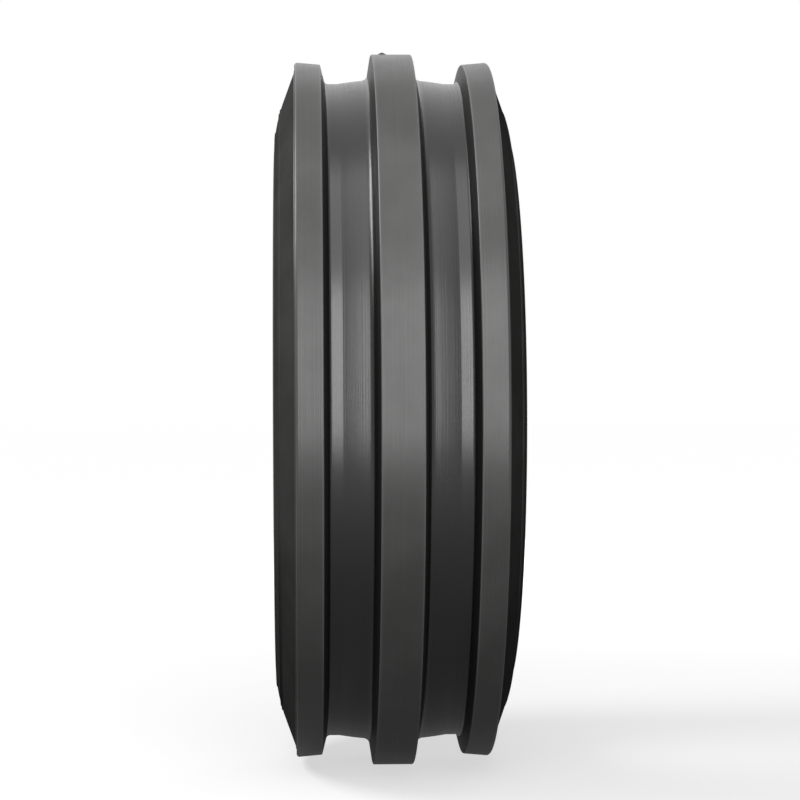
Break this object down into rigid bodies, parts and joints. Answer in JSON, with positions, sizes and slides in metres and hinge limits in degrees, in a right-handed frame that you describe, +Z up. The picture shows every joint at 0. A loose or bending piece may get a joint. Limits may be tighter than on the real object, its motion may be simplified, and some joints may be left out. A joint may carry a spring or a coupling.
{
  "type": "rib implement tyre",
  "caption": "Bare bias-ply tyre with circumferential ribs and deep plain grooves for towed farm implements, with its rubber, fabric and bead wire as separate layers.",
  "frame": {"origin": "centre of the tyre, on its turning axis and its middle plane", "axes": "+Y along the turning axis, +Z up, +X forwards as the tyre rolls"},
  "size_m": [0.77, 0.2512, 0.7699],
  "materials": {
    "tread_rubber": "moulded charcoal rubber, satin on the ribs",
    "sidewall_rubber": "moulded charcoal rubber, satin",
    "cushion_gum": "matt black gum rubber",
    "ply_fabric": "rubber-coated nylon cord fabric, dull brown black",
    "chafer_fabric": "rubber-coated square woven fabric, matt",
    "liner_rubber": "smooth airtight rubber, slight sheen",
    "bead_steel": "bronze-plated steel wire"
  },
  "bodies": {
    "root": {"tread": "tread_rubber", "undertread": "cushion_gum", "breaker_1": "ply_fabric", "breaker_2": "ply_fabric", "inner_liner": "liner_rubber", "ply_1": "ply_fabric", "ply_2": "ply_fabric", "ply_3": "ply_fabric", "ply_4": "ply_fabric", "sidewall_left": "sidewall_rubber", "rim_strip_left": "sidewall_rubber", "chafer_left": "chafer_fabric", "flipper_left": "chafer_fabric", "bead_filler_left": "cushion_gum", "bead_wrap_left": "chafer_fabric", "bead_wire_left": "bead_steel", "sidewall_right": "sidewall_rubber", "rim_strip_right": "sidewall_rubber", "chafer_right": "chafer_fabric", "flipper_right": "chafer_fabric", "bead_filler_right": "cushion_gum", "bead_wrap_right": "chafer_fabric", "bead_wire_right": "bead_steel"}
  },
  "joints": []
}
